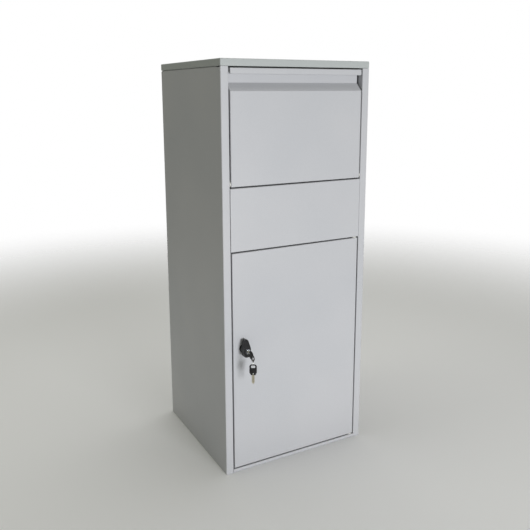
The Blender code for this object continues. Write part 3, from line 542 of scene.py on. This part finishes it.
def lock_housing():
    """Black stepped rosette against the door, and the threaded barrel behind it."""
    radius = HOUSING_HIGH.x - LOCK.x
    front = LOCK.y - HOUSING_LOW.y
    seat = LOCK.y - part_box("door_panel")[0].y + FIT
    profile = [
        (PLUG_BORE, front),
        (radius - 2 * ROSETTE_STEP, front),
        (radius - ROSETTE_STEP, front - ROSETTE_STEP),
        (radius, front - 1.6 * ROSETTE_STEP),
        (radius, seat),
        (PLUG_BORE, seat),
    ]
    radii = [0, 0.0004, 0.0006, 0.0006, 0.0002, 0]
    rosette = turned_piece(
        "lock_rosette", profile, radii, LOCK, OUT, GLOSS_BLACK, "door", 64
    )
    rear = LOCK.y - HOUSING_HIGH.y
    crests = [(PLUG_BORE, seat), (BARREL_RADIUS, seat)]
    height = seat - THREAD_START
    while height - THREAD_PITCH > rear + THREAD_DEPTH:
        crests.append((BARREL_RADIUS, height))
        crests.append((BARREL_RADIUS - THREAD_DEPTH, height - THREAD_PITCH / 2))
        crests.append((BARREL_RADIUS, height - THREAD_PITCH + THREAD_LAND))
        height -= THREAD_PITCH
    crests.append((BARREL_RADIUS, rear + THREAD_DEPTH))
    crests.append((BARREL_RADIUS - THREAD_DEPTH, rear))
    crests.append((PLUG_BORE, rear))
    turned_piece("lock_barrel", crests, 0.0, LOCK, OUT, ZINC, "door", 48)
    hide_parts("lock_housing")


def lock_nut():
    """Hexagon nut with chamfered corners."""
    half = (NUT_HIGH.y - NUT_LOW.y) / 2
    across = min(NUT_HIGH.x - NUT_LOW.x, NUT_HIGH.z - NUT_LOW.z) / 2
    bore = BARREL_RADIUS + 0.0002
    middle = Vector((LOCK.x, (NUT_LOW.y + NUT_HIGH.y) / 2, LOCK.z))
    flat_turn = 0 if NUT_HIGH.x - NUT_LOW.x < NUT_HIGH.z - NUT_LOW.z else pi / 6
    rings = []
    steps = 72
    for step in range(steps):
        turn = 2 * pi * step / steps
        from_flat = (turn - flat_turn + pi / 6) % (pi / 3) - pi / 6
        reach = across / cos(from_flat)
        drop = (reach - across) * tan(NUT_CHAMFER) + THREAD_LAND
        lip = min(reach, across * NUT_FACE)
        section = [
            (bore, half - NUT_EDGE),
            (bore + NUT_EDGE, half),
            (lip, half),
            (reach, half - drop),
            (reach, drop - half),
            (lip, -half),
            (bore + NUT_EDGE, -half),
            (bore, NUT_EDGE - half),
        ]
        rings.append([middle + Vector((r * cos(turn), -h, r * sin(turn))) for r, h in section])
    shape = bmesh.new()
    add_loft(shape, rings, loop=True)
    nut = piece("barrel_nut", shape, ZINC, "door", 25.0)
    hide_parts("lock_nut")


def knob_details():
    """Raised collar around the cylinder and grip ribs on the knob's thumb lobe."""
    front = LOCK.y - KNOB_LOW.y
    collar = [
        (COLLAR_BORE, front + COLLAR_PROUD),
        (COLLAR_FRONT, front + COLLAR_PROUD),
        (COLLAR_REAR, front - COLLAR_SUNK),
        (COLLAR_BORE, front - COLLAR_SUNK),
    ]
    radii = [0.0003, 0.0005, 0.0002, 0]
    turned_piece(
        "knob_collar", collar, radii, LOCK, OUT, BLACK, "lock_core", 56
    )
    slope = (front - LOBE_TIP_DEPTH) / (KNOB_HIGH.z - LOCK.z - LOBE_ROOT)
    out_of_face = Vector((0, -1, slope)).normalized()
    shape = bmesh.new()
    for index in range(RIB_COUNT):
        up = LOBE_ROOT + RIB_FIRST + index * RIB_PITCH
        depth = front - (up - LOBE_ROOT) * slope
        centre = LOCK + OUT * depth + Vector((0, 0, up))
        rib_frame = frame_at(centre, (1, 0, 0), out_of_face)
        add_bar(shape, rib_frame, RIB_HALF_LENGTH - index * RIB_TAPER, RIB_HALF_WIDTH, RIB_HEIGHT)
    piece("knob_grip_ribs", shape, BLACK, "lock_core")


def add_bar(shape, at, half_length, half_width, height):
    """A low bar with a round top and round ends, lying on the frame's xy plane."""
    half_profile = ((0.82, 1.0), (0.93, 0.8), (1.0, 0.25))      # share of the length, and of the section
    profile = [(-share, swell) for share, swell in reversed(half_profile)] + list(half_profile)
    steps = 8
    rings = []
    for share, swell in profile:
        ring = []
        for step in range(steps):
            turn = 2 * pi * step / steps
            y = half_width * swell * cos(turn)
            z = height * swell * sin(turn)
            ring.append(at @ Vector((share * half_length, y, z)))
        rings.append(ring)
    add_loft(shape, rings)


def cam_screw():
    """Pan-head screw with a cross recess."""
    top = SCREW_HIGH.y - LOCK.y
    end = SCREW_LOW.y - LOCK.y
    radius = SCREW_HIGH.x - LOCK.x
    profile = [
        (0, top),
        (radius * 0.55, top),
        (radius * 0.9, top - SCREW_HEAD * 0.25),
        (radius, top - SCREW_HEAD * 0.6),
        (radius, top - SCREW_HEAD),
        (SCREW_RADIUS, top - SCREW_HEAD),
        (SCREW_RADIUS, end),
        (0, end),
    ]
    radii = [0, 0.0004, 0.0004, 0.0003, 0.0002, 0, 0.0003, 0]
    made = turned_piece("cam_fixing_screw", profile, radii, LOCK, -OUT, ZINC, "lock_core")
    low = (-CROSS_HALF_LENGTH, -CROSS_DEPTH, -CROSS_HALF_WIDTH)
    high = (CROSS_HALF_LENGTH, CROSS_DEPTH, CROSS_HALF_WIDTH)
    for turn in (radians(45), radians(135)):
        at = Matrix.Translation(LOCK - OUT * top) @ Matrix.Rotation(turn, 4, "Y")
        carve(made, box_shape(low, high, at))
    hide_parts("cam_screw")


# ---------------------------------------------------------------- keys

BLADE_THICKNESS = 0.0018
BLADE_HALF = 0.00375
BLADE_LENGTH = 0.026
FOLD_PIN = 0.0015
CUT_PITCH = 0.0031
CUT_FIRST = 0.0060       # first notch from the fold pin
CUT_FLAT = 0.0005        # half width of a notch's floor
CUT_SLOPE = 0.9
CUT_DEPTHS = (           # one row for each edge
    (0.0009, 0.0003, 0.0012, 0.0006, 0.0010, 0.0004),
    (0.0005, 0.0011, 0.0004, 0.0009, 0.0002, 0.0007),
)
TIP_SLOPE = 0.667
TIP_THIN = 0.55          # share of the blade's thickness that is left at its tip
TIP_TAPER = 0.0015
BLADE_ROUND_END = 0.985  # share of the round end that the blade's rings reach
BLADE_STEP = 0.00026
BLADE_SET_IN = 0.00022
GROOVE = 0.00045         # depth of the groove in each side
GROOVE_FADE = (-0.0042, -0.0034)
HEAD_HALF = 0.009
HEAD_NECK_HALF = 0.006
HEAD_THICK = 0.0042
HEAD_THIN = 0.0016
HEAD_REACH = 0.0235
HEAD_NEAR = 0.0035
HEAD_CORNER = 0.006
HEAD_NEAR_ROUND = 0.0012
HEAD_END_ROUND = 0.0006
HEAD_EDGE_ROUND = 0.0011
SHOULDER_END = 0.0038    # where the head reaches its full width
RIBS_FROM = 0.0042       # ribs across the grip
RIBS_TO = 0.0094
GRIP_RIB_PITCH = 0.0013
GRIP_RIB = 0.00012       # half height of a rib
STEP_FROM = 0.0096       # slope from the grip down to the web
STEP_TO = 0.0108
FINE_TO = 0.0112         # the head's rings are closer together up to here
LEAST_HALF = 0.0002
HOLE_FROM_PIN = 0.0175
HOLE_HALF_LONG = 0.005
HOLE_HALF_SHORT = 0.0034
HOLE_ROUND = 0.002
HOLE_CUT = 0.004         # half depth of the hole's cutter
BEYOND = 0.02            # a cutter's reach outside the piece
RIVET_SUNK = 0.0003
RING_HALF_WIRE = 0.0006
RING_YAW = radians(60)
RING_SAG = 0.0003
SPARE_YAW = radians(30)
WIRE_HALF_WIDE = 0.00055
WIRE_HALF_THICK = 0.00024
WIRE_ROUND = 0.00018
WIRE_PITCH = 0.00056     # between the ring's two turns


def ease(value, start, end):
    """Smoothly from 0 at start to 1 at end."""
    share = min(max((value - start) / (end - start), 0.0), 1.0)
    return share * share * (3 - 2 * share)


def cut_depth(x, row):
    """Depth of the milled notch at a place along the blade."""
    depth = 0.0
    for index, size in enumerate(CUT_DEPTHS[row]):
        aside = max(abs(x + CUT_FIRST + CUT_PITCH * index) - CUT_FLAT, 0.0)
        depth = max(depth, size - aside * CUT_SLOPE)
    return depth


def blade_edge(x, row):
    """Half height of the blade at a place along it: the round fold end, the notches and the pointed tip."""
    if x > 0:
        return sqrt(max(BLADE_HALF ** 2 - x ** 2, 0.0))
    tip = (x + BLADE_LENGTH) * TIP_SLOPE + BLADE_HALF / 3
    return min(BLADE_HALF - cut_depth(x, row), tip)


def blade_section(x):
    """Outline of the blade at a place along it, with a groove in each side."""
    upper = blade_edge(x, 0)
    lower = blade_edge(x, 1)
    full = BLADE_THICKNESS / 2
    thin = full * (TIP_THIN + (1 - TIP_THIN) * ease(x, -BLADE_LENGTH, TIP_TAPER - BLADE_LENGTH))
    cut = GROOVE * (1 - ease(x, *GROOVE_FADE)) * min(1.0, upper / BLADE_HALF, lower / BLADE_HALF)
    up = upper - BLADE_SET_IN
    down = BLADE_SET_IN - lower
    groove = [(-0.0002, 0.0), (0.0001, cut), (0.0011, cut), (0.0014, 0.0)]
    near_side = [(min(max(y, down), up), depth - thin) for y, depth in groove]
    far_side = [(min(max(-y, down), up), thin - depth) for y, depth in groove]
    return [
        (down, -thin),
        *near_side,
        (up, -thin),
        (up, BLADE_SET_IN - thin),
        (up, thin - BLADE_SET_IN),
        (up, thin),
        *far_side,
        (down, thin),
        (down, thin - BLADE_SET_IN),
        (down, BLADE_SET_IN - thin),
    ]


def key_blade(name, node, body, at):
    """Nickel silver blade with milled notches on both edges and a groove down each side."""
    end = BLADE_HALF * BLADE_ROUND_END
    steps = int((end + BLADE_LENGTH) / BLADE_STEP) + 1
    stations = [-BLADE_LENGTH + BLADE_STEP * step for step in range(steps)] + [end]
    rings = [[at @ Vector((x, y, z)) for y, z in blade_section(x)] for x in stations]
    shape = bmesh.new()
    add_loft(shape, rings)
    made = piece(name, shape, NICKEL, body, 30.0)
    carve(made, rod_shape(FOLD_PIN + FIT, BEYOND / 2, at))
    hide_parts(node)


def head_half_width(x):
    """Half width of the head along its length, from the fold end to the round far corners."""
    neck = HEAD_NECK_HALF + (HEAD_HALF - HEAD_NECK_HALF) * ease(x, -HEAD_NEAR, SHOULDER_END)
    near = HEAD_NEAR - HEAD_NEAR_ROUND
    if x < -near:
        neck -= HEAD_NEAR_ROUND - sqrt(max(HEAD_NEAR_ROUND ** 2 - (x + near) ** 2, 0.0))
    far = HEAD_REACH - HEAD_CORNER
    if x > far:
        return HEAD_HALF - HEAD_CORNER + sqrt(max(HEAD_CORNER ** 2 - (x - far) ** 2, 0.0))
    return neck


def head_half_thickness(x):
    """Half thickness: the thick grip with its ribs, the step down to the web, and the rounded ends."""
    grip = HEAD_THICK / 2 - GRIP_RIB
    if RIBS_FROM < x < RIBS_TO:
        grip -= GRIP_RIB * cos(2 * pi * (x - RIBS_FROM) / GRIP_RIB_PITCH)
    web = HEAD_THIN / 2
    thick = web + (grip - web) * (1 - ease(x, STEP_FROM, STEP_TO))
    from_end = min(x + HEAD_NEAR, HEAD_REACH - x)
    if from_end < HEAD_END_ROUND:
        rise = sqrt(max(HEAD_END_ROUND ** 2 - (HEAD_END_ROUND - from_end) ** 2, 0.0))
        thick -= HEAD_END_ROUND - rise
    return max(thick, LEAST_HALF)


def key_head(name, node, body, at):
    """Moulded head: ribbed grip that forks around the blade's end, thin web with the ring's hole."""
    fine = [0.0, 0.0001, 0.0003, 0.0006]
    stations = [-HEAD_NEAR + x for x in fine]
    step = 0.0002
    x = -HEAD_NEAR + 0.0009
    while x < HEAD_REACH - 0.0008:
        stations.append(x)
        x += step if x < FINE_TO else 2 * step
    stations += [HEAD_REACH - x for x in reversed(fine)]
    rings = []
    for x in stations:
        wide = head_half_width(x)
        thick = head_half_thickness(x)
        corner = min(HEAD_EDGE_ROUND, thick * 0.95)
        outline = [(-wide, -thick), (wide, -thick), (wide, thick), (-wide, thick)]
        rings.append([at @ Vector((x, y, z)) for y, z in rounded(outline, corner, steps=4)])
    shape = bmesh.new()
    add_loft(shape, rings)
    made = piece(name, shape, BLACK, body)
    near = HOLE_FROM_PIN - HOLE_HALF_SHORT
    far = HOLE_FROM_PIN + HOLE_HALF_SHORT
    corners = [(near, -HOLE_HALF_LONG), (far, -HOLE_HALF_LONG), (far, HOLE_HALF_LONG), (near, HOLE_HALF_LONG)]
    outline = rounded(corners, HOLE_ROUND, steps=5)
    hole = bmesh.new()
    add_loft(hole, [[at @ Vector((x, y, z)) for x, y in outline] for z in (-HOLE_CUT, HOLE_CUT)])
    carve(made, hole)
    half_slot = BLADE_THICKNESS / 2 + FIT
    root = BLADE_HALF + 2 * FIT
    carve(made, box_shape((-BEYOND, -BEYOND, -half_slot), (root, BEYOND, half_slot), at))
    carve(made, rod_shape(FOLD_PIN, HEAD_THICK - 2 * FIT, at), "UNION")
    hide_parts(node)
    caps = bmesh.new()
    cap = [(0, 0.00055), (0.0009, 0.0005), (0.0016, 0.0003), (0.0018, 0.0), (0, 0.0)]
    for turn in (pi, 0):
        seat = Matrix.Translation((0, 0, HEAD_THICK / 2 - RIVET_SUNK))
        add_turned(caps, cap, at @ Matrix.Rotation(turn, 4, "X") @ seat, 24)
    piece(f"{name}_rivet", caps, ZINC, body)


def key_ring():
    """Split ring: two flat turns of spring wire side by side."""
    low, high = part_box("key_ring")
    centre = (low + high) / 2
    radius = (high.z - low.z) / 2 - RING_HALF_WIRE
    across = Vector((cos(RING_YAW), sin(RING_YAW), 0))
    normal = Vector((-sin(RING_YAW), cos(RING_YAW), 0))
    up = Vector((0, 0, 1))
    wide = WIRE_HALF_WIDE
    thick = WIRE_HALF_THICK
    wire = rounded([(-wide, -thick), (wide, -thick), (wide, thick), (-wide, thick)], WIRE_ROUND, steps=2)
    first_end = pi * 0.42
    steps = 120
    rings = []
    for step in range(steps + 1):
        share = step / steps
        turn = share * 4 * pi + first_end
        side = WIRE_PITCH * (ease(share, 0.42, 0.58) - 0.5)
        spoke = across * cos(turn) + up * sin(turn)
        spot = centre + spoke * radius + normal * side
        rings.append([spot + spoke * u + normal * v for u, v in wire])
    shape = bmesh.new()
    add_loft(shape, rings)
    made = piece("split_ring", shape, ZINC, "key_ring")
    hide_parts("key_ring")


def lock_and_keys():
    lock_housing()
    lock_nut()
    knob_details()
    cam_screw()
    fold = Vector(JOINTS["key_fold"]["pos_m"])
    hang = Vector(JOINTS["ring_swing"]["pos_m"]) - fold
    droop = Vector((0, hang.y, hang.z + RING_SAG))
    key_blade("inserted_key_blade", "key_blade", "key", frame_at(fold, OUT, (1, 0, 0)))
    key_head("inserted_key_head", "key_head", "key_head", frame_at(fold, droop, (1, 0, 0)))
    key_ring()
    low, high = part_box("spare_key_head")
    spare_fold = Vector(((low.x + high.x) / 2, (low.y + high.y) / 2, low.z + HEAD_NEAR))
    spare = frame_at(spare_fold, (0, 0, 1), (-sin(SPARE_YAW), -cos(SPARE_YAW), 0))
    key_blade("hanging_key_blade", "spare_key_blade", "spare_key", spare)
    key_head("hanging_key_head", "spare_key_head", "spare_key", spare)


# ---------------------------------------------------------------- fixings and rubber

PIN_RADIUS = 0.003
PIN_NECK = 0.0025        # radius in the groove near the pin's end
PIN_HEAD = 0.002
STUD_NECK = 0.002
STUD_WAIST = 0.0006
BLOCK_ROUNDS = [0.0001, 0.0005, 0.0005, 0.0001]
BLOCK_END = 0.0008
BLOCK_DROOP = 0.0005
BLOCK_RIB = 0.0004
BLOCK_RIB_STEPS = 10
SHEET = 0.001
SPOT_PROUD = 0.00028
SPOT_EDGE = 0.0075       # from a spot weld's centre to the back panel's side
WELD_LEG = 0.0022
WELD_SCALE = 0.0012      # pitch of a weld bead's ripples
WELD_SCALE_STEPS = 4
WELD_ARC_STEPS = 5
TRAY_SLOPE = radians(35)
TRAY_ABOVE_PIN = 0.014
STITCHES = (0.010, 0.090, 0.170)
STITCH_LENGTH = 0.030
STITCH_BELOW = 0.00102
STITCH_IN_WALL = 0.00005


def pivot_pin(node, axis):
    """Domed rivet pin with a groove and a pointed end, in place of a plain pin."""
    low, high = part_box(node)
    axis = Vector(axis)
    length = max(high - low)
    place = (low + high) / 2 - axis * (length / 2)
    head_radius = sorted(high - low)[1] / 2
    profile = [
        (0, length),
        (PIN_RADIUS - 0.0006, length),
        (PIN_RADIUS, length - 0.0008),
        (PIN_RADIUS, length - 0.0015),
        (PIN_NECK, length - 0.0016),
        (PIN_NECK, length - 0.0022),
        (PIN_RADIUS, length - 0.0023),
        (PIN_RADIUS, PIN_HEAD),
        (head_radius, PIN_HEAD),
        (head_radius, PIN_HEAD * 0.55),
        (head_radius * 0.72, PIN_HEAD * 0.12),
        (0, 0),
    ]
    radii = [0, 0.0002, 0.0001, 0, 0, 0, 0, 0.0001, 0.0003, 0.0004, 0.0006, 0]
    made = turned_piece(f"{node}_rivet", profile, radii, place, axis, ZINC, "cabinet", 32)
    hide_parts(node)


def stop_stud(node, side):
    """Rubber stud moulded with a rim and a waist, and a head inside the hopper."""
    low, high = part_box(node)
    near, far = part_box(node.replace("stop_stud", "hopper_cheek"))
    inner, outer = (low.x, high.x) if side > 0 else (high.x, low.x)
    cheek_in, cheek_out = (near.x, far.x) if side > 0 else (far.x, near.x)
    start = (low + high) / 2
    start.x = inner
    radius = (high.z - low.z) / 2
    reach = abs(outer - inner)
    seat = abs(cheek_out - inner) + FIT
    head = abs(cheek_in - inner) - FIT
    profile = [
        (0, reach),
        (radius - 0.001, reach),
        (radius, reach - 0.001),
        (radius, seat + 0.0045),
        (radius - STUD_WAIST, seat + 0.0039),
        (radius - STUD_WAIST, seat + 0.0022),
        (radius, seat + 0.0016),
        (radius, seat),
        (STUD_NECK, seat),
        (STUD_NECK, head),
        (radius - 0.0003, head),
        (radius - 0.0006, head - 0.0006),
        (0, head - 0.0014),
    ]
    radii = [0, 0.0004, 0.0004, 0.0003, 0.0003, 0.0003, 0.0003, 0.0002, 0, 0, 0.0001, 0.0003, 0]
    axis = Vector((side, 0, 0))
    made = turned_piece(f"{node}_buffer", profile, radii, start, axis, RUBBER, "hopper", 40)
    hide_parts(node)


def ribbed_block(name, node, along, out, ribs):
    """Rubber block whose ribs cross axis number along. It faces up for out 3, and to the front for out -2."""
    low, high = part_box(node)
    out_axis = abs(out) - 1
    third = 3 - along - out_axis
    size = high - low
    steps = ribs * BLOCK_RIB_STEPS
    rings = []
    for step in range(steps + 1):
        share = step / steps
        near_end = min(share, 1 - share) * size[along]
        droop = BLOCK_DROOP * (1 - ease(near_end, 0, BLOCK_END))
        inset = droop + BLOCK_RIB * (0.5 + 0.5 * cos(2 * pi * share * ribs))
        face = high[out_axis] - inset if out > 0 else low[out_axis] + inset
        seat = low[out_axis] if out > 0 else high[out_axis]
        corners = [(seat, low[third]), (face, low[third]), (face, high[third]), (seat, high[third])]
        ring = []
        for u, v in rounded(corners, BLOCK_ROUNDS, steps=3):
            point = Vector((0, 0, 0))
            point[along] = low[along] + share * size[along]
            point[out_axis] = u
            point[third] = v
            ring.append(point)
        rings.append(ring)
    shape = bmesh.new()
    add_loft(shape, rings)
    made = piece(name, shape, RUBBER, "cabinet")
    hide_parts(node)


def spot_welds(name, body, spots):
    """Shallow round electrode marks: each spot is a place on a sheet and the way it faces."""
    shape = bmesh.new()
    profile = [
        (0, SPOT_PROUD * 0.25),
        (0.0011, SPOT_PROUD * 0.35),
        (0.0017, SPOT_PROUD),
        (0.0022, SPOT_PROUD * 0.8),
        (0.0029, 0),
        (0, 0),
    ]
    for place, facing in spots:
        add_turned(shape, profile, axis_frame(place, facing), 20)
    piece(name, shape, PAINT, body, 60.0)


def bead(shape, start, end, first_wall, second_wall):
    """A fillet weld between two walls, with the ripples of a row of overlapping scales."""
    run = end - start
    steps = int(run.length / WELD_SCALE) * WELD_SCALE_STEPS
    rings = []
    for step in range(steps + 1):
        share = step / steps
        ripple = 1.0 + 0.10 * ((step % WELD_SCALE_STEPS) / (WELD_SCALE_STEPS - 1) - 0.5)
        taper = sqrt(max(1 - (2 * share - 1) ** 8, 0.03))
        corner = start + run * share
        ring = [corner]
        for turn in range(WELD_ARC_STEPS + 1):
            angle = pi / 2 * turn / WELD_ARC_STEPS
            reach = WELD_LEG * ripple * taper * (1 - 0.18 * sin(2 * angle))
            ring.append(corner + (first_wall * cos(angle) + second_wall * sin(angle)) * reach)
        rings.append(ring)
    add_loft(shape, rings)


def spread_out(start, end, count):
    """Evenly spaced values from start to end."""
    return [start + (end - start) * index / (count - 1) for index in range(count)]


def cabinet_welds():
    """Spot welds of the back panel, the baffle behind it and the side angles under the top cover."""
    low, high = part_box("back_panel")
    back = high.y
    spots = []
    for z in spread_out(low.z + 0.035, high.z - 0.035, 12):
        for x in (low.x + SPOT_EDGE, high.x - SPOT_EDGE):
            spots.append(((x, back, z), (0, 1, 0)))
    low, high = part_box("rear_baffle")
    for x in spread_out(low.x + 0.03, high.x - 0.03, 6):
        spots.append(((x, back, high.z - 0.010), (0, 1, 0)))
    spot_welds("back_panel_spot_welds", "cabinet", spots)
    spots = []
    for label, side in (("left", -1), ("right", 1)):
        low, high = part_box(f"top_angle_{label}")
        inner = high.x - SHEET if side > 0 else low.x + SHEET
        for y in spread_out(low.y + 0.02, high.y - 0.02, 5):
            spots.append(((inner, y, low.z + 0.009), (-side, 0, 0)))
    spot_welds("top_angle_spot_welds", "cabinet", spots)


def door_welds():
    """Spot welds of the stiffener's two flanges on the door."""
    low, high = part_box("door_stiffener")
    spots = []
    for z in spread_out(low.z + 0.012, high.z - 0.012, 9):
        for x in (low.x + 0.0048, high.x - 0.0048):
            spots.append(((x, low.y + SHEET, z), (0, 1, 0)))
    spot_welds("door_stiffener_spot_welds", "door", spots)


def hopper_welds():
    """Stitch welds along the tray, from underneath, where it meets the two cheeks."""
    tray_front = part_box("hopper_tray")[0].y
    cheek_outside = abs(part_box("hopper_cheek_left")[1].x)
    low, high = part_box("hopper_pin_left")
    run = Vector((0, cos(TRAY_SLOPE), -sin(TRAY_SLOPE)))
    under = Vector((0, -sin(TRAY_SLOPE), -cos(TRAY_SLOPE)))
    ahead = 0.012
    start = Vector((0, tray_front + ahead, (low.z + high.z) / 2 + TRAY_ABOVE_PIN - ahead * tan(TRAY_SLOPE)))
    shape = bmesh.new()
    for side in (-1, 1):
        for first in STITCHES:
            place = start + run * first + under * STITCH_BELOW
            place.x = side * (cheek_outside - STITCH_IN_WALL)
            bead(shape, place, place + run * STITCH_LENGTH, Vector((-side, 0, 0)), under)
    piece("tray_stitch_welds", shape, PAINT, "hopper", 60.0)


def fixings():
    pivot_pin("door_hinge_pin_top", (0, 0, -1))
    pivot_pin("door_hinge_pin_bottom", (0, 0, 1))
    for label, side in (("left", -1), ("right", 1)):
        pivot_pin(f"hopper_pin_{label}", (side, 0, 0))
        stop_stud(f"stop_stud_{label}", side)
        ribbed_block(f"hopper_buffer_{label}", f"hopper_bumper_{label}", 1, 3, 4)
        ribbed_block(f"door_buffer_{label}", f"door_pad_{label}", 0, -2, 5)
    cabinet_welds()
    door_welds()
    hopper_welds()


# ---------------------------------------------------------------- the whole scene

lock_and_keys()
fixings()
dress_cad_nodes()
add_camera()
studio()
add_floor()
